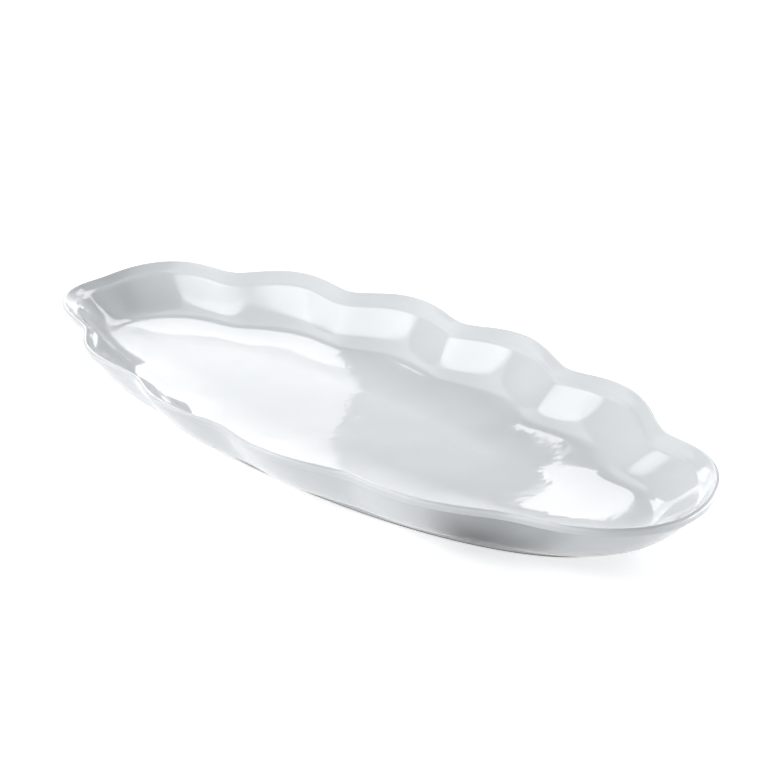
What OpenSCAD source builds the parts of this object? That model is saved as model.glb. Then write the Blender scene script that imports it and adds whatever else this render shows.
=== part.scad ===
// Fish platter: a long oval dish with a scalloped, flared wall, standing on a low oval foot ring.
// Lengths are in millimetres. X runs along the platter, Z is up and the foot stands on Z = 0.
// Every ring of the wall lies between two ovals, the rim and the foot outside, the rim and the floor inside.

/* [Rim outline] */
// Length of the rim oval, from the notch at one end to the notch at the other
rim_length = 500; // [440:5:560]
// Width of the rim oval, from the notch at one side to the notch at the other
rim_width = 187; // [165:1:209]
// Roundness of the rim oval: 2 is an ellipse, and less draws its ends to a point
rim_roundness = 1.87; // [1.75:0.01:2.1]
// Height of the rim crown at the notches in the middle of its length
rim_height = 40; // [34:0.5:48]
// How far the rim falls from the middle of its length to its ends
end_fall = 3; // [0:0.5:6]

/* [Scallops] */
// Lobes around the rim
lobe_count = 12; // [8:2:16]
// How far the middle of a lobe stands out from the rim oval
lobe_depth = 8.5; // [4:0.5:12]
// How far the middle of a lobe stands above the notches
lobe_rise = 2.5; // [0:0.5:6]
// Softness of the notch between two lobes
notch_share = 0.4; // [0.04:0.02:0.6]

/* [Rim band and lip] */
// Thickness of the rounded edge
edge_thickness = 3.2; // [2.6:0.2:5]
// Height of the rounded top of the edge
crown_height = 1.8; // [1.2:0.2:2.8]
// Height of the plain band around the outside, from its foot to the crown
band_height = 4.5; // [3.5:0.5:7]
// How far the band stands out from the wall below it
band_step = 1.5; // [0.5:0.1:2]
// Width of the sloping lip, from the crown to the shoulder where the well begins
lip_width = 7.5; // [6:0.5:11]
// Fall of the lip from the crown to the shoulder
lip_fall = 5.5; // [3.5:0.5:7]
// How far the lip is hollowed between the crown and the shoulder
lip_cove = 0.5; // [0:0.1:1]

/* [Wall and floor] */
// Thickness of the flat floor
floor_thickness = 5; // [4:0.5:7]
// Width of the soft margin between the foot oval and the edge of the flat floor
floor_margin = 26; // [22:1:30]
// How much of the rise from the flat floor to the shoulder is an even dish that starts in the margin
dish_share = 0.05; // [0:0.01:0.08]
// How late that dish rises: 1 is straight, and more starts it level
dish_power = 1.3; // [1:0.1:2]
// How far up the inside, from the flat floor to the shoulder, the margin turns into the wall
turn_share = 0.61; // [0.55:0.01:0.65]
// Softness of that turn
turn_soft_share = 0.1; // [0.06:0.01:0.2]
// How much of the lobe depth is left at the turn
toe_lobe_share = 0.7; // [0.3:0.05:0.8]
// How full the outside of the wall is: 1 is straight, and more bellies out
belly_power = 1.9; // [1.4:0.05:2.2]
// How low the lobes stay full on the outside before they fade into the foot
fade_power = 1.25; // [1:0.05:2.5]

/* [Foot ring] */
// Length of the foot oval
foot_length = 410; // [374:2:430]
// Width of the foot oval
foot_width = 136; // [120:1:150]
// Height of the foot ring
foot_height = 5; // [4:0.5:8]
// Width of the band that the platter stands on
foot_band = 6; // [5:0.5:10]

/* [Facets] */
// Facets along each lobe
lobe_steps = 12; // [8:4:16]
// Rows of facets up the outside of the wall
wall_rows = 8; // [6:1:12]
// Rows of facets up the inside of the wall
well_rows = 14; // [10:1:16]
// Rows of facets over the crown
crown_rows = 6; // [4:1:8]
// Rows of facets across the lip
lip_rows = 3; // [2:1:4]

/* [Hidden] */

glaze_white = [0.94, 0.95, 0.96];
bisque_white = [0.90, 0.89, 0.86];

around = lobe_count * lobe_steps;
// Short steps that measure the edge of an oval before it is divided evenly
fine_steps = 1440;
ellipse_roundness = 2;
floor_top = foot_height + floor_thickness;
band_out = edge_thickness / 2;
wall_top_out = band_out - band_step;
band_foot_height = rim_height - band_height;
shoulder_height = rim_height - lip_fall;
// The crown is rounded over its top from the outside to where the lip leaves it
crown_angle = 118;
crown_foot = rim_height - crown_height;
// How fast the lobes fade from the turn down to the flat floor
well_fade_power = ln(1 - toe_lobe_share) / ln(1 - turn_share);

// A point of an oval, at an angle counted from +X
function oval_point(length, width, roundness, angle) = [
    length / 2 * sign(cos(angle)) * pow(abs(cos(angle)), 2 / roundness),
    width / 2 * sign(sin(angle)) * pow(abs(sin(angle)), 2 / roundness)
];

// Running totals of a list of lengths, starting from zero
function running_totals(lengths) = [
    for (i = 0, total = 0; i <= len(lengths); total = total + (i < len(lengths) ? lengths[i] : 0), i = i + 1)
        total
];

// An oval divided into equal steps along its edge
function even_oval(length, width, roundness) =
    let (angles = [for (i = [0 : fine_steps]) 360 * i / fine_steps])
    let (points = [for (angle = angles) oval_point(length, width, roundness, angle)])
    let (travelled = running_totals([for (i = [1 : fine_steps]) norm(points[i] - points[i - 1])]))
    let (angle_at = [for (i = [0 : fine_steps]) [travelled[i], angles[i]]])
    [
        for (i = [0 : around - 1])
            oval_point(length, width, roundness, lookup(travelled[fine_steps] * i / around, angle_at))
    ];

// A curve from 0 to 1 that starts level, and turns at a share of the way into a straight rise
function soft_turn(x, turn, softness) =
    let (start = norm([turn, softness]), lean = turn / start)
    (norm([x - turn, softness]) - start + lean * x) / (norm([1 - turn, softness]) - start + lean);

function unit(v) = v / norm(v);

rim_oval = even_oval(rim_length, rim_width, rim_roundness);
foot_oval = even_oval(foot_length, foot_width, ellipse_roundness);
floor_oval = even_oval(foot_length - 2 * floor_margin, foot_width - 2 * floor_margin, ellipse_roundness);
// Directions straight out from the rim oval, from its neighbouring points
outward = [
    for (i = [0 : around - 1])
        let (along = rim_oval[(i + 1) % around] - rim_oval[(i + around - 1) % around])
        unit([along.y, -along.x])
];
// How far each point is up its lobe, from 0 at a notch to 1 at the middle
lobe_shares = [for (i = [0 : around - 1]) soft_turn(abs(sin(180 * i / lobe_steps)), 0, notch_share)];
// How far each point is towards an end, from 0 in the middle of the length to 1 at the ends
end_shares = [for (p = rim_oval) pow(2 * p.x / rim_length, 2)];

// One ring of points: its share of the way from the rim oval to another oval, its distance out from there,
// how much of the lobes' depth and of the rim's rise and fall it has, and its height before them
function ring(oval, way_share, out, depth_share, rise_share, height) = [
    for (i = [0 : around - 1])
        let (base = rim_oval[i] + way_share * (oval[i] - rim_oval[i]))
        let (plan = base + (out + depth_share * lobe_depth * lobe_shares[i]) * outward[i])
        let (rise = lobe_rise * lobe_shares[i] - end_fall * end_shares[i])
        [plan.x, plan.y, height + rise_share * rise]
];

function flat_outline(points) = [for (p = points) [p.x, p.y]];

// A ring of the rim, which carries the lobes whole
function rim_ring(out, height) = ring(foot_oval, 0, out, 1, 1, height);

// A ring of the outside of the wall, from 0 at the foot to 1 under the band
function outer_ring(x) = ring(
    foot_oval,
    1 - x,
    x * wall_top_out,
    1 - pow(1 - x, fade_power),
    x,
    foot_height + (band_foot_height - foot_height) * pow(x, belly_power)
);

// A ring of the inside of the wall, from 0 at the flat floor to 1 at the shoulder
function inner_ring(x) =
    let (dish = dish_share * pow(x, dish_power))
    let (rise_share = dish + (1 - dish_share) * soft_turn(x, turn_share, turn_soft_share))
    ring(
        floor_oval,
        1 - x,
        -x * lip_width,
        1 - pow(1 - x, well_fade_power),
        rise_share,
        floor_top + (shoulder_height - floor_top) * rise_share
    );

// A closed band whose section runs anticlockwise through the rings, with the outside on the right
module loft(rings) {
    points = [for (r = rings) each r];
    last = len(rings);
    faces = [
        for (j = [0 : last - 1], i = [0 : around - 1])
            let (here = j * around, next = ((j + 1) % last) * around, turn = (i + 1) % around)
            each [
                [here + i, next + i, next + turn],
                [here + i, next + turn, here + turn]
            ]
    ];
    polyhedron(points = points, faces = faces, convexity = 8);
}

// The smooth oval ring that the platter stands on
module foot_ring() {
    color(bisque_white)
        linear_extrude(height = foot_height)
            difference() {
                polygon(foot_oval);
                polygon(flat_outline(ring(foot_oval, 1, -foot_band, 0, 0, 0)));
            }
}

// The flat oval plate at the bottom of the well, held by the wall around it
module well_floor() {
    color(glaze_white)
        translate([0, 0, foot_height])
            linear_extrude(height = floor_thickness)
                polygon(floor_oval);
}

// The flared wall, smooth at the foot and lobed at the top, with its ribs running down inside the well
module scalloped_wall() {
    outside = [for (j = [0 : wall_rows]) outer_ring(j / wall_rows)];
    inside = [for (j = [well_rows : -1 : 0]) inner_ring(j / well_rows)];
    under = [ring(floor_oval, 1, 0, 0, 0, foot_height)];
    color(glaze_white)
        loft(concat(outside, inside, under));
}

// A ring of the crown, at an angle over it from the outside
function crown_ring(angle) = rim_ring(band_out * cos(angle), crown_foot + crown_height * sin(angle));

// A ring of the lip, from 0 at the crown to 1 at the shoulder, hollowed in between
function lip_ring(x) =
    let (start_out = band_out * cos(crown_angle), start_height = crown_foot + crown_height * sin(crown_angle))
    let (hollow = 4 * lip_cove * x * (1 - x))
    rim_ring(
        start_out - x * (start_out + lip_width),
        start_height + x * (shoulder_height - start_height) - hollow
    );

// The rolled edge: a plain band outside, a rounded crown and a hollowed lip that slopes in to the shoulder
module rim_lip() {
    band = [
        rim_ring(wall_top_out, band_foot_height),
        rim_ring(band_out, band_foot_height)
    ];
    crown = [for (j = [0 : crown_rows]) crown_ring(crown_angle * j / crown_rows)];
    lip = [for (j = [1 : lip_rows]) lip_ring(j / lip_rows)];
    color(glaze_white)
        loft(concat(band, crown, lip));
}

foot_ring();
well_floor();
scalloped_wall();
rim_lip();
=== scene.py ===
"""The looks of the fish platter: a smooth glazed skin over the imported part, with studio light and a camera.

Every ring of the wall lies between two ovals, the rim and the foot outside, the rim and the floor inside,
and carries the same lobes as the part.
"""

import math

import bpy
import numpy as np
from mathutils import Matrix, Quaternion, Vector


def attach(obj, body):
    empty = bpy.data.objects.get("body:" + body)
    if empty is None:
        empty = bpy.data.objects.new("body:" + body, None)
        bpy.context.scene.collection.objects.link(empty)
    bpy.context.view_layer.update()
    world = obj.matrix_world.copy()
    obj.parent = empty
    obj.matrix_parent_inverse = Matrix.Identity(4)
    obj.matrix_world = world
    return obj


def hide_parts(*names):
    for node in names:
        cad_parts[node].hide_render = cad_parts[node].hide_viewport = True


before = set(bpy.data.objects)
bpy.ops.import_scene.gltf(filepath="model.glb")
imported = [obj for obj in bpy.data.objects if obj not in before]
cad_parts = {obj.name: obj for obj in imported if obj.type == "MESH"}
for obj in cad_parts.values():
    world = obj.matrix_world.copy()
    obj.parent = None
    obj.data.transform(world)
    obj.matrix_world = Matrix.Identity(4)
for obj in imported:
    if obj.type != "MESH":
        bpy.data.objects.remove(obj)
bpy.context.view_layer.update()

MM = 0.001

# Rim outline
RIM_LENGTH = 500 * MM
RIM_WIDTH = 187 * MM
RIM_ROUNDNESS = 1.87
RIM_HEIGHT = 40 * MM
END_FALL = 3 * MM

# Scallops
LOBE_COUNT = 12
LOBE_DEPTH = 8.5 * MM
LOBE_RISE = 2.5 * MM
NOTCH_SHARE = 0.4

# Rim band and lip
EDGE_THICKNESS = 3.2 * MM
CROWN_HEIGHT = 1.8 * MM
CROWN_ANGLE = math.radians(118)
BAND_HEIGHT = 4.5 * MM
BAND_STEP = 1.5 * MM
LIP_WIDTH = 7.5 * MM
LIP_FALL = 5.5 * MM
LIP_COVE = 0.5 * MM

# Wall and floor
FLOOR_THICKNESS = 5 * MM
# The margin between the foot oval and the flat floor, wider and more dished than in the part's solids
SIDE_MARGIN = 40 * MM
END_MARGIN = 35 * MM
# How much of the rise to the shoulder is an even dish, and how late that dish rises
DISH_SHARE = 0.3
DISH_POWER = 2
# How far up the inside the margin turns into the wall, how softly, and how much lobe depth is left there
TURN_SHARE = 0.712
TURN_SOFT_SHARE = 0.068
TOE_LOBE_SHARE = 0.7
# How full the outside of the wall is, and how low the lobes stay full there
BELLY_POWER = 1.9
FADE_POWER = 1.25

# Foot ring
FOOT_LENGTH = 410 * MM
FOOT_WIDTH = 136 * MM
FOOT_HEIGHT = 5 * MM
FOOT_BAND = 6 * MM

# How far the glaze softens each edge, measured from the corner
FOOT_EDGE = 0.9 * MM
FOOT_FILLET = 2 * MM
BAND_EDGE = 0.9 * MM
BAND_FILLET = 0.8 * MM
SHOULDER_EDGE = 2.6 * MM

# How far up the outside of the wall the fillet over the foot ends and the one under the band begins
OUTSIDE_START_SHARE = 0.07
OUTSIDE_END_SHARE = 0.97
# How far up the inside of the wall the rounded shoulder ends, and the ring below that it is turned towards
INSIDE_END_SHARE = 0.92
SHOULDER_AIM_SHARE = 0.9
# The small cap in the middle of a disc, as a share of the disc
DISC_CAP_SHARE = 0.002

# Rows of faces
LOBE_STEPS = 40
WALL_ROWS = 36
WELL_ROWS = 72
CROWN_ROWS = 14
LIP_ROWS = 10
FACE_ROWS = 4
EDGE_ROWS = 6
DISC_ROWS = 30
# Short steps that measure the edge of an oval before it is divided evenly
FINE_STEPS = 14400
# Rings closer than this are the same ring
SAME_RING = 0.001 * MM

AROUND = LOBE_COUNT * LOBE_STEPS
EDGE_MIDDLE = EDGE_ROWS // 2
ELLIPSE_ROUNDNESS = 2
FLOOR_TOP = FOOT_HEIGHT + FLOOR_THICKNESS
BAND_OUT = EDGE_THICKNESS / 2
WALL_TOP_OUT = BAND_OUT - BAND_STEP
BAND_FOOT_HEIGHT = RIM_HEIGHT - BAND_HEIGHT
SHOULDER_HEIGHT = RIM_HEIGHT - LIP_FALL
CROWN_FOOT_HEIGHT = RIM_HEIGHT - CROWN_HEIGHT
WELL_FADE_POWER = math.log(1 - TOE_LOBE_SHARE) / math.log(1 - TURN_SHARE)

# The runs of the skin that close around each piece
PIECE_RUNS = {
    "foot_ring": ("foot",),
    "scalloped_wall": ("under_wall", "outside", "inside"),
    "rim_lip": ("rim",),
    "well_floor": ("under_floor", "floor"),
}

# Glaze, with the scale of each noise in cells to a metre, and its detail in finer layers
GLAZE_IOR = 1.6
# Its colour drifts in clouds between two whites
GLAZE_COOL = (0.725, 0.748, 0.765)
GLAZE_PALE = (0.758, 0.78, 0.795)
CLOUD_SCALE = 18
CLOUD_DETAIL = 2
CLOUD_RANGE = (0.35, 0.65)
# Its gloss varies
SHEEN_SCALE = 60
SHEEN_DETAIL = 3
SHEEN_RANGE = (0.3, 0.7)
SHEEN_ROUGHNESS = (0.03, 0.07)
# Its surface has wide waves and fine ripples
WAVE_SCALE = 33
WAVE_DETAIL = 0
WAVE_HEIGHT = 0.2 * MM
RIPPLE_SCALE = 150
RIPPLE_DETAIL = 1
RIPPLE_HEIGHT = 0.05 * MM

# The unglazed edge that the platter stands on: its height, and the height over which the glaze then comes in.
# Its dullness is real, but its dark grey is a painted shadow, for the contact shadow along the foot
BARE_AND_SHADOW_HEIGHT = 0.6 * MM
BARE_AND_SHADOW_FADE = 0.6 * MM
# Painted shadow: dark grey on the unglazed edge, standing in for the contact shadow under the foot
PAINTED_SHADOW_GREY = (0.2, 0.18, 0.17)
BARE_ROUGHNESS = 0.6

# Ground and surround
GROUND_SIZE = 12
GROUND_WHITE = (0.9, 0.9, 0.9)
# How much the ground glows where it is seen
GROUND_GLOW = 0.54
FILL_TINT = (0.93, 0.97, 1)
# How much the surround lights, where it shows as 1
FILL_LEVEL = 0.2

# How much of a soft lamp or a card is full before it fades out, and how square its corners are
LAMP_FULL_SHARE = 0.55
CARD_FULL_SHARE = 0.5
CORNER_POWER = 3

# Lights, with places in metres from the middle of the foot as the camera sees it: ahead, right and up
LIGHTS = {
    # Large and soft at the left, mirrored in the lobes of the far wall
    "key": dict(
        centre=(0.03, -1.673, 1.371), aim=(0.691, -0.971, 1.637), spin=0.411,
        width=3.0, height=2.32, radiance=3.45, soft=True,
    ),
    # Panels behind, mirrored in the floor and its margin
    "back_left": dict(
        centre=(1.0, -0.168, 0.304), aim=(0, -0.168, 0.304), spin=-0.476,
        width=0.45, height=0.36, radiance=1.3,
    ),
    "back_high": dict(
        centre=(1.0, -0.31, 0.58), aim=(0, -0.31, 0.58), spin=-0.476,
        width=0.45, height=0.26, radiance=2.8,
    ),
    "back_right": dict(
        centre=(1.0, 0.325, 0.8), aim=(0, 0.325, 0.8), spin=-0.707,
        width=0.42, height=0.56, radiance=3.3,
    ),
    # From the back right, towards the platter
    "right_back": dict(centre=(0.45, 1.2, 0.8), aim=(0, 0, 0), width=0.8, height=0.6, radiance=2.4),
    # Small lights on the card behind
    "backdrop_low": dict(
        centre=(1.05, 0.12, 0.12), aim=(1.3, 0.12, 0.4), width=0.5, height=0.15, radiance=25,
    ),
    "backdrop_right": dict(
        centre=(1.15, 0.27, 0.56), aim=(1.3, 0.27, 0.6), width=0.45, height=0.12, radiance=4.5,
    ),
    # Broad, from above at the back left
    "top_back": dict(centre=(0.6, -1.0, 1.5), aim=(0, 0, 0), width=2.0, height=1.2, radiance=1.3),
    # Low lights for the outside of the near wall and of the right end
    "front_low": dict(
        centre=(-0.7, -0.5, 0.13), aim=(0, -0.05, 0.03), width=1.0, height=0.22, radiance=2.7,
    ),
    "front_right": dict(
        centre=(-0.4, 0.8, 0.1), aim=(0, 0.15, 0.02), width=0.6, height=0.16, radiance=2.7,
    ),
    "right_low": dict(
        centre=(-0.08, 0.42, 0.018), aim=(-0.08, 0.12, 0.02), width=0.3, height=0.03, radiance=20,
    ),
}

# Cards, placed in the same way
CARDS = {
    # A light grey wall behind, and a dark card at the right
    "wall_behind": dict(centre=(1.3, 0, 0.7), aim=(0, 0, 0.7), width=6, height=2.4, grey=0.6),
    "dark_right": dict(centre=(-0.3, 0.825, 1.43), aim=(-0.3, 0, 0), width=2.0, height=1.75, grey=0.04),
    # A small dark card on the ground in front, mirrored in the near wall
    "dark_front": dict(
        centre=(-0.178, 0.058, 0.001), aim=(-0.178, 0.058, 1), width=0.09, height=0.06, grey=0.02,
        casts_shadow=False,
    ),
}

# Camera, with angles in radians and its distance from the middle of the rim in metres
CAMERA_AZIMUTH = 0.8698
CAMERA_ELEVATION = 0.4207
CAMERA_ROLL = -0.0698
CAMERA_DISTANCE = 1.0665
CAMERA_LENS = 85.8
CAMERA_SHIFT_X = 0.0481
CAMERA_SHIFT_Y = -0.018
CAMERA_CLIP_START = 10 * MM


def oval_points(length, width, roundness, angles):
    """Points of an oval, at angles counted from +X."""
    along = np.cos(angles)
    across = np.sin(angles)
    x = length / 2 * np.sign(along) * np.abs(along) ** (2 / roundness)
    y = width / 2 * np.sign(across) * np.abs(across) ** (2 / roundness)
    return np.stack([x, y], axis=-1)


def even_oval(length, width, roundness):
    """An oval divided into equal steps along its edge."""
    angles = np.linspace(0, 2 * math.pi, FINE_STEPS + 1)
    steps = np.diff(oval_points(length, width, roundness, angles), axis=0)
    travelled = np.concatenate([[0], np.cumsum(np.linalg.norm(steps, axis=1))])
    places = travelled[-1] * np.arange(AROUND) / AROUND
    return oval_points(length, width, roundness, np.interp(places, travelled, angles))


def outward_from(oval):
    """Directions straight out from an oval, from its neighbouring points."""
    along = np.roll(oval, -1, axis=0) - np.roll(oval, 1, axis=0)
    out = np.stack([along[:, 1], -along[:, 0]], axis=-1)
    return out / np.linalg.norm(out, axis=1, keepdims=True)


def soft_turn(x, turn, softness):
    """A curve from 0 to 1 that starts level, and turns at a share of the way into a straight rise."""
    start = math.hypot(turn, softness)
    lean = turn / start
    rise = np.hypot(x - turn, softness) - start + lean * x
    return rise / (math.hypot(1 - turn, softness) - start + lean)


RIM_OVAL = even_oval(RIM_LENGTH, RIM_WIDTH, RIM_ROUNDNESS)
FOOT_OVAL = even_oval(FOOT_LENGTH, FOOT_WIDTH, ELLIPSE_ROUNDNESS)
FLOOR_OVAL = even_oval(FOOT_LENGTH - 2 * END_MARGIN, FOOT_WIDTH - 2 * SIDE_MARGIN, ELLIPSE_ROUNDNESS)
OUTWARD = outward_from(RIM_OVAL)
# How far each point is up its lobe, from 0 at a notch to 1 at the middle
LOBE_SHARES = soft_turn(np.abs(np.sin(math.pi * np.arange(AROUND) / LOBE_STEPS)), 0, NOTCH_SHARE)
# How far each point is towards an end, from 0 in the middle of the length to 1 at the ends
END_SHARES = (2 * RIM_OVAL[:, 0] / RIM_LENGTH) ** 2


def ring(oval, way_share, out, depth_share, rise_share, height):
    """One ring: its share of the way from the rim to an oval, its distance out from there, its shares of the
    lobes' depth and of the rim's rise and fall, and its height before them."""
    base = RIM_OVAL + way_share * (oval - RIM_OVAL)
    plan = base + (out + depth_share * LOBE_DEPTH * LOBE_SHARES)[:, None] * OUTWARD
    rise = LOBE_RISE * LOBE_SHARES - END_FALL * END_SHARES
    return np.column_stack([plan, height + rise_share * rise])


def rim_ring(out, height):
    """A ring of the rim, which carries the lobes whole."""
    return ring(FOOT_OVAL, 0, out, 1, 1, height)


def foot_ring_at(out, height):
    """A ring of the foot, which has no lobes."""
    return ring(FOOT_OVAL, 1, out, 0, 0, height)


def floor_ring_at(height):
    """The edge of the flat floor, at a height."""
    return ring(FLOOR_OVAL, 1, 0, 0, 0, height)


def outer_ring(x):
    """A ring of the outside of the wall, from 0 at the foot to 1 under the band."""
    height = FOOT_HEIGHT + (BAND_FOOT_HEIGHT - FOOT_HEIGHT) * x ** BELLY_POWER
    return ring(FOOT_OVAL, 1 - x, x * WALL_TOP_OUT, 1 - (1 - x) ** FADE_POWER, x, height)


def inner_ring(x):
    """A ring of the inside of the wall, from 0 at the flat floor to 1 at the shoulder."""
    turn = soft_turn(x, TURN_SHARE, TURN_SOFT_SHARE)
    rise_share = DISH_SHARE * x ** DISH_POWER + (1 - DISH_SHARE) * turn
    depth_share = 1 - (1 - x) ** WELL_FADE_POWER
    height = FLOOR_TOP + (SHOULDER_HEIGHT - FLOOR_TOP) * rise_share
    return ring(FLOOR_OVAL, 1 - x, -x * LIP_WIDTH, depth_share, rise_share, height)


def towards(start, goal, reach):
    """A ring moved towards another, each point by the same reach."""
    way = goal - start
    return start + reach * way / np.linalg.norm(way, axis=1, keepdims=True)


def between(start, end, rows, sag=0.0):
    """Rings from start to end along straight lines, or hanging below them in the middle."""
    drop = np.array([0, 0, 4 * sag])
    return [start + t * (end - start) - t * (1 - t) * drop for t in np.linspace(0, 1, rows + 1)]


def rounded(before, corner, after, reach):
    """Rings that round a corner, leaving and meeting its two sides at the same reach."""
    first = towards(corner, before, reach)
    last = towards(corner, after, reach)
    shares = np.linspace(0, 1, EDGE_ROWS + 1)
    return [(1 - t) ** 2 * first + 2 * t * (1 - t) * corner + t * t * last for t in shares]


def joined(*runs):
    """Runs of rings put end to end, without the ring that two runs share."""
    rings = list(runs[0])
    for run in runs[1:]:
        skip = 1 if np.allclose(run[0], rings[-1], atol=SAME_RING) else 0
        rings.extend(run[skip:])
    return rings


def foot_fillet():
    """The soft corner between the outside of the foot and the wall."""
    return rounded(foot_ring_at(0, 0), foot_ring_at(0, FOOT_HEIGHT), outer_ring(1 / WALL_ROWS), FOOT_FILLET)


def band_fillet():
    """The soft corner between the wall and the underside of the band."""
    band_foot = rim_ring(BAND_OUT, BAND_FOOT_HEIGHT)
    return rounded(outer_ring(OUTSIDE_END_SHARE), outer_ring(1), band_foot, BAND_FILLET)


def foot_section():
    """The foot ring from under the floor, down its inside, across the standing band and up to the wall."""
    under = foot_ring_at(-FOOT_BAND - 2 * FOOT_FILLET, FOOT_HEIGHT)
    inner_top = foot_ring_at(-FOOT_BAND, FOOT_HEIGHT)
    inner_foot = foot_ring_at(-FOOT_BAND, 0)
    outer_foot = foot_ring_at(0, 0)
    outer_top = foot_ring_at(0, FOOT_HEIGHT)
    inside = rounded(under, inner_top, inner_foot, FOOT_FILLET)
    inner_edge = rounded(inner_top, inner_foot, outer_foot, FOOT_EDGE)
    outer_edge = rounded(inner_foot, outer_foot, outer_top, FOOT_EDGE)
    outside = foot_fillet()
    return joined(
        inside,
        between(inside[-1], inner_edge[0], FACE_ROWS),
        inner_edge,
        between(inner_edge[-1], outer_edge[0], FACE_ROWS),
        outer_edge,
        between(outer_edge[-1], outside[0], FACE_ROWS),
        outside[: EDGE_MIDDLE + 1],
    )


def outer_wall_section():
    """The outside of the wall, between the middles of the fillets over the foot and under the band."""
    shares = np.linspace(OUTSIDE_START_SHARE, OUTSIDE_END_SHARE, WALL_ROWS)
    wall = [outer_ring(x) for x in shares]
    return joined(foot_fillet()[EDGE_MIDDLE:], wall, band_fillet()[: EDGE_MIDDLE + 1])


def crown_section():
    """The rounded top of the edge, from the band over to where the lip leaves it."""
    return [
        rim_ring(BAND_OUT * math.cos(turn), CROWN_FOOT_HEIGHT + CROWN_HEIGHT * math.sin(turn))
        for turn in np.linspace(0, CROWN_ANGLE, CROWN_ROWS + 1)
    ]


def lip_section():
    """The hollow of the lip and the rounded shoulder that it ends in."""
    lip = between(crown_section()[-1], inner_ring(1), LIP_ROWS, LIP_COVE)
    shoulder = rounded(lip[-2], inner_ring(1), inner_ring(SHOULDER_AIM_SHARE), SHOULDER_EDGE)
    hollow_share = 1 - SHOULDER_EDGE / LIP_WIDTH
    return lip[: int(LIP_ROWS * hollow_share)], shoulder


def rim_section():
    """The band outside, the crown and the lip, down to the middle of the shoulder."""
    crown = crown_section()
    edge = rounded(outer_ring(1), rim_ring(BAND_OUT, BAND_FOOT_HEIGHT), crown[0], BAND_EDGE)
    lip, shoulder = lip_section()
    return joined(
        band_fillet()[EDGE_MIDDLE:],
        edge,
        between(edge[-1], crown[0], FACE_ROWS),
        crown,
        lip,
        shoulder[: EDGE_MIDDLE + 1],
    )


def inner_wall_section():
    """The inside of the wall, from the middle of the shoulder to the edge of the floor."""
    shoulder = lip_section()[1]
    wall = [inner_ring(x) for x in np.linspace(INSIDE_END_SHARE, 0, WELL_ROWS)]
    return joined(shoulder[EDGE_MIDDLE:], wall)


def disc_section(edge):
    """Rings from an edge in to the middle of a flat disc."""
    middle = np.array([0, 0, edge[0, 2]])
    return [middle + share * (edge - middle) for share in np.linspace(1, DISC_CAP_SHARE, DISC_ROWS + 1)]


def skin_runs():
    """The whole skin in runs of rings, from the middle underneath over the rim to the middle inside."""
    foot = foot_section()
    inside = inner_wall_section()
    under_edge = floor_ring_at(FOOT_HEIGHT)
    return {
        "under_floor": disc_section(under_edge)[::-1],
        "under_wall": between(under_edge, foot[0], FACE_ROWS),
        "foot": foot,
        "outside": outer_wall_section(),
        "rim": rim_section(),
        "inside": inside,
        "floor": disc_section(inside[-1]),
    }


def run_normals(runs):
    """Outward directions for each run of the skin, from the neighbouring points of the whole skin."""
    grid = np.array([r for run in runs.values() for r in run])
    around = np.roll(grid, -1, axis=1) - np.roll(grid, 1, axis=1)
    ahead = np.concatenate([grid[1:], grid[-1:]]) - np.concatenate([grid[:1], grid[:-1]])
    out = np.cross(around, ahead)
    out = out / np.linalg.norm(out, axis=2, keepdims=True)
    ends = np.cumsum([len(run) for run in runs.values()])
    return dict(zip(runs, np.split(out, ends[:-1])))


def strip_faces(first, second):
    """Quads between two rings, given by the numbers of their first points."""
    faces = []
    for i in range(AROUND):
        turn = (i + 1) % AROUND
        faces.append((first + i, first + turn, second + turn, second + i))
    return faces


def add_object(name, data):
    """An object in the scene, made of a mesh, a lamp or a camera."""
    thing = bpy.data.objects.new(name, data)
    bpy.context.scene.collection.objects.link(thing)
    return thing


def add_piece(name, rings, normals, closed):
    """A mesh whose section runs through the rings and back to the first, or is capped at both ends."""
    points = [tuple(p) for r in rings for p in r]
    starts = [k * AROUND for k in range(len(rings))]
    faces = [f for a, b in zip(starts, starts[1:]) for f in strip_faces(a, b)]
    if closed:
        faces.extend(strip_faces(starts[-1], starts[0]))
    else:
        faces.append(tuple(range(starts[0], starts[0] + AROUND))[::-1])
        faces.append(tuple(range(starts[-1], starts[-1] + AROUND)))
    mesh = bpy.data.meshes.new(name)
    mesh.from_pydata(points, [], faces)
    mesh.polygons.foreach_set("use_smooth", [True] * len(faces))
    mesh.normals_split_custom_set_from_vertices([tuple(n) for r in normals for n in r])
    return add_object(name, mesh)


def build_platter():
    """The four pieces, cut from one skin so that the light runs over their joints without a break."""
    runs = skin_runs()
    normals = run_normals(runs)
    pieces = {}
    for node, names in PIECE_RUNS.items():
        piece_rings = [r for name in names for r in runs[name]]
        piece_normals = [n for name in names for n in normals[name]]
        pieces[node] = add_piece(node + "_glazed", piece_rings, piece_normals, closed=node != "well_floor")
    return pieces


def add_node(tree, kind, **inputs):
    """A shader node with some of its inputs filled in by name."""
    node = tree.nodes.new("ShaderNode" + kind)
    for name, value in inputs.items():
        node.inputs[name.capitalize()].default_value = value
    return node


def calculate(tree, operation, *values):
    """A sum on numbers or on the outputs of nodes."""
    node = tree.nodes.new("ShaderNodeMath")
    node.operation = operation
    for socket, value in zip(node.inputs, values):
        if isinstance(value, (int, float)):
            socket.default_value = value
        else:
            tree.links.new(value, socket)
    return node.outputs[0]


def separate(tree, vector):
    """The three numbers of a vector."""
    node = tree.nodes.new("ShaderNodeSeparateXYZ")
    tree.links.new(vector, node.inputs["Vector"])
    return node.outputs["X"], node.outputs["Y"], node.outputs["Z"]


def object_place(tree):
    """Where a point of an object is, in the object's own frame."""
    return tree.nodes.new("ShaderNodeTexCoord").outputs["Object"]


def noise(tree, where, scale, detail):
    """A noise over the platter, as a number from 0 to 1 around one half."""
    node = add_node(tree, "TexNoise", scale=scale, detail=detail)
    tree.links.new(where, node.inputs["Vector"])
    return node.outputs["Fac"]


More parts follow.
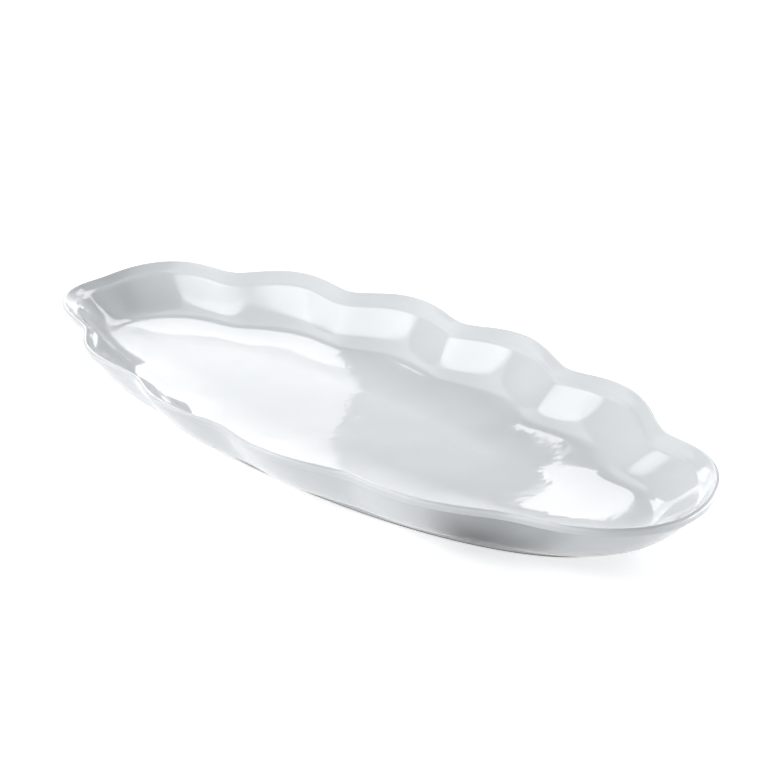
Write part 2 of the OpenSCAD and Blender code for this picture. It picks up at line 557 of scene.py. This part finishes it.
def ramp(tree, value, low, high, at_low, at_high):
    """A value carried from one range to another, and held at its ends."""
    node = tree.nodes.new("ShaderNodeMapRange")
    node.inputs["From Min"].default_value = low
    node.inputs["From Max"].default_value = high
    node.inputs["To Min"].default_value = at_low
    node.inputs["To Max"].default_value = at_high
    tree.links.new(value, node.inputs["Value"])
    return node.outputs["Result"]


def blend(tree, amount, first, second):
    """Two colours mixed by an amount."""
    node = tree.nodes.new("ShaderNodeMix")
    node.data_type = "RGBA"
    node.inputs["A"].default_value = (*first, 1)
    node.inputs["B"].default_value = (*second, 1)
    tree.links.new(amount, node.inputs["Factor"])
    return node.outputs["Result"]


def mix_into(tree, amount, socket, kind, value):
    """A value mixed by an amount into what a socket already gets."""
    node = tree.nodes.new("ShaderNodeMix")
    node.data_type = kind
    tree.links.new(amount, node.inputs["Factor"])
    tree.links.new(socket.links[0].from_socket, node.inputs["A"])
    node.inputs["B"].default_value = value
    tree.links.new(node.outputs["Result"], socket)


def glaze_material(name):
    """Clear gloss glaze over white porcelain."""
    material = bpy.data.materials.new(name)
    material.use_nodes = True
    tree = material.node_tree
    shader = tree.nodes["Principled BSDF"]
    shader.inputs["IOR"].default_value = GLAZE_IOR
    where = object_place(tree)
    cloud = ramp(tree, noise(tree, where, CLOUD_SCALE, CLOUD_DETAIL), *CLOUD_RANGE, 0, 1)
    tint = blend(tree, cloud, GLAZE_COOL, GLAZE_PALE)
    sheen = ramp(tree, noise(tree, where, SHEEN_SCALE, SHEEN_DETAIL), *SHEEN_RANGE, *SHEEN_ROUGHNESS)
    waves = add_node(tree, "Bump", distance=WAVE_HEIGHT)
    tree.links.new(noise(tree, where, WAVE_SCALE, WAVE_DETAIL), waves.inputs["Height"])
    ripple = add_node(tree, "Bump", distance=RIPPLE_HEIGHT)
    tree.links.new(noise(tree, where, RIPPLE_SCALE, RIPPLE_DETAIL), ripple.inputs["Height"])
    tree.links.new(waves.outputs["Normal"], ripple.inputs["Normal"])
    tree.links.new(ripple.outputs["Normal"], shader.inputs["Normal"])
    tree.links.new(tint, shader.inputs["Base Color"])
    tree.links.new(sheen, shader.inputs["Roughness"])
    return material


def wipe_bare_and_paint_shadow(material):
    """A dull unglazed edge on the band that the platter stands on, where the glaze is wiped off, coloured
    dark grey as a painted shadow where the foot meets the ground.
    """
    tree = material.node_tree
    shader = tree.nodes["Principled BSDF"]
    height = separate(tree, object_place(tree))[2]
    bare_and_shadow = ramp(tree, height, BARE_AND_SHADOW_HEIGHT, BARE_AND_SHADOW_HEIGHT + BARE_AND_SHADOW_FADE, 1, 0)
    # Painted shadow: the unglazed band turns dark grey for the contact shadow under the foot; its roughness
    # below is real
    mix_into(tree, bare_and_shadow, shader.inputs["Base Color"], "RGBA", (*PAINTED_SHADOW_GREY, 1))
    mix_into(tree, bare_and_shadow, shader.inputs["Roughness"], "FLOAT", BARE_ROUGHNESS)


def studio_point(ahead, right, up):
    """A point given from the middle of the foot as the camera sees it: ahead, to the right and up."""
    ahead_way = Vector((-math.sin(CAMERA_AZIMUTH), math.cos(CAMERA_AZIMUTH), 0))
    right_way = Vector((math.cos(CAMERA_AZIMUTH), math.sin(CAMERA_AZIMUTH), 0))
    return ahead * ahead_way + right * right_way + Vector((0, 0, up))


def put(thing, centre, aim, axis, spin=0):
    """Puts a thing at a centre with one of its axes towards the aim, spun in its own plane."""
    thing.location = centre
    thing.rotation_mode = "QUATERNION"
    facing = (aim - centre).to_track_quat(axis, "Y")
    thing.rotation_quaternion = facing @ Quaternion((0, 0, 1), spin)


def soft_edge(tree, across, along, full_share):
    """1 in the middle of a rectangle, fading to 0 at its rounded edge, from places that run from -1 to 1."""
    powers = []
    for side in (across, along):
        powers.append(calculate(tree, "POWER", calculate(tree, "ABSOLUTE", side), CORNER_POWER))
    distance = calculate(tree, "POWER", calculate(tree, "ADD", *powers), 1 / CORNER_POWER)
    return ramp(tree, distance, full_share, 1, 1, 0)


def soften(data):
    """Lets a lamp's light fade out towards its edges."""
    data.use_nodes = True
    tree = data.node_tree
    shares = separate(tree, tree.nodes.new("ShaderNodeNewGeometry").outputs["Parametric"])
    across = calculate(tree, "MULTIPLY_ADD", shares[0], 2, -1)
    along = calculate(tree, "MULTIPLY_ADD", shares[1], 2, -1)
    light = soft_edge(tree, across, along, LAMP_FULL_SHARE)
    tree.links.new(light, tree.nodes["Emission"].inputs["Strength"])


def add_softbox(name, centre, aim, width, height, radiance, spin=0, soft=False):
    """A rectangular light that faces the aim, spun in its own plane from standing upright."""
    data = bpy.data.lights.new(name, "AREA")
    data.shape = "RECTANGLE"
    data.size = width
    data.size_y = height
    data.energy = radiance * math.pi * width * height
    if soft:
        soften(data)
    lamp = add_object(name, data)
    lamp.visible_camera = False
    put(lamp, studio_point(*centre), studio_point(*aim), "-Z", spin)


def add_rectangle(name, width, height, material):
    """A flat rectangle around its own middle."""
    x = width / 2
    y = height / 2
    mesh = bpy.data.meshes.new(name)
    mesh.from_pydata([(-x, -y, 0), (x, -y, 0), (x, y, 0), (-x, y, 0)], [], [(0, 1, 2, 3)])
    mesh.materials.append(material)
    return add_object(name, mesh)


def card_material(name, width, height, grey):
    """A grey card that fades out towards its edges and is clear from behind."""
    material = bpy.data.materials.new(name)
    material.use_nodes = True
    tree = material.node_tree
    tree.nodes.clear()
    paint = add_node(tree, "BsdfDiffuse", color=(grey, grey, grey, 1))
    clear = tree.nodes.new("ShaderNodeBsdfTransparent")
    mix = tree.nodes.new("ShaderNodeMixShader")
    x, y, _ = separate(tree, object_place(tree))
    across = calculate(tree, "MULTIPLY", x, 2 / width)
    along = calculate(tree, "MULTIPLY", y, 2 / height)
    behind = tree.nodes.new("ShaderNodeNewGeometry").outputs["Backfacing"]
    front = calculate(tree, "SUBTRACT", 1, behind)
    solid = calculate(tree, "MULTIPLY", soft_edge(tree, across, along, CARD_FULL_SHARE), front)
    tree.links.new(solid, mix.inputs[0])
    tree.links.new(clear.outputs[0], mix.inputs[1])
    tree.links.new(paint.outputs[0], mix.inputs[2])
    output = tree.nodes.new("ShaderNodeOutputMaterial")
    tree.links.new(mix.outputs[0], output.inputs["Surface"])
    return material


def add_card(name, centre, aim, width, height, grey, casts_shadow=True):
    """A rectangular card that faces the aim and is only seen mirrored in the glaze."""
    panel = add_rectangle(name, width, height, card_material(name, width, height, grey))
    panel.visible_camera = False
    panel.visible_shadow = casts_shadow
    put(panel, studio_point(*centre), studio_point(*aim), "Z")


def seen_rays(tree):
    """1 for the rays of the camera, of reflections and of what shines through, and 0 for rays that light."""
    path = tree.nodes.new("ShaderNodeLightPath")
    seen = path.outputs["Is Camera Ray"]
    for ray in ("Is Glossy Ray", "Is Transmission Ray"):
        seen = calculate(tree, "MAXIMUM", seen, path.outputs[ray])
    return seen


def ground_material():
    """Plain white that glows a little where it is seen."""
    material = bpy.data.materials.new("floor_white")
    material.use_nodes = True
    tree = material.node_tree
    tree.nodes.clear()
    diffuse = add_node(tree, "BsdfDiffuse", color=(*GROUND_WHITE, 1))
    glow = tree.nodes.new("ShaderNodeEmission")
    tree.links.new(ramp(tree, seen_rays(tree), 0, 1, 0, GROUND_GLOW), glow.inputs["Strength"])
    both = tree.nodes.new("ShaderNodeAddShader")
    tree.links.new(diffuse.outputs[0], both.inputs[0])
    tree.links.new(glow.outputs[0], both.inputs[1])
    output = tree.nodes.new("ShaderNodeOutputMaterial")
    tree.links.new(both.outputs[0], output.inputs["Surface"])
    return material


def add_ground():
    """The ground that the platter stands on, which keeps its shadow."""
    floor = add_rectangle("floor", GROUND_SIZE, GROUND_SIZE, ground_material())


def add_world():
    """A white surround, dimmer as light than as what the eye and the glaze see."""
    world = bpy.data.worlds.new("studio")
    bpy.context.scene.world = world
    world.use_nodes = True
    tree = world.node_tree
    sky = tree.nodes["Background"]
    sky.inputs["Color"].default_value = (*FILL_TINT, 1)
    tree.links.new(ramp(tree, seen_rays(tree), 0, 1, FILL_LEVEL, 1), sky.inputs["Strength"])


def add_lights():
    """The softboxes and cards around the platter."""
    for name, light in LIGHTS.items():
        add_softbox(name, **light)
    for name, panel in CARDS.items():
        add_card(name, **panel)


def add_camera():
    """The camera at the photograph's angle, as fitted to the rim, its notches and the foot."""
    data = bpy.data.cameras.new("camera")
    data.lens = CAMERA_LENS
    data.shift_x = CAMERA_SHIFT_X
    data.shift_y = CAMERA_SHIFT_Y
    data.clip_start = CAMERA_CLIP_START
    camera = add_object("camera", data)
    back = Vector((
        math.sin(CAMERA_AZIMUTH) * math.cos(CAMERA_ELEVATION),
        -math.cos(CAMERA_AZIMUTH) * math.cos(CAMERA_ELEVATION),
        math.sin(CAMERA_ELEVATION),
    ))
    aim = Vector((0, 0, RIM_HEIGHT))
    put(camera, aim + CAMERA_DISTANCE * back, aim, "-Z", CAMERA_ROLL)
    bpy.context.scene.camera = camera


pieces = build_platter()
white_glaze = glaze_material("porcelain_glaze")
foot_glaze = glaze_material("foot_ring_glaze")
wipe_bare_and_paint_shadow(foot_glaze)
for node, glaze, slot in (
    ("foot_ring", foot_glaze, "foot_glaze"),
    ("well_floor", white_glaze, "white_glaze"),
    ("scalloped_wall", white_glaze, "white_glaze"),
    ("rim_lip", white_glaze, "white_glaze"),
):
    piece = pieces[node]
    piece.data.materials.append(glaze)
    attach(piece, "root")
    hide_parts(node)

add_ground()
add_world()
add_lights()
add_camera()
bpy.context.scene.view_settings.view_transform = "Standard"
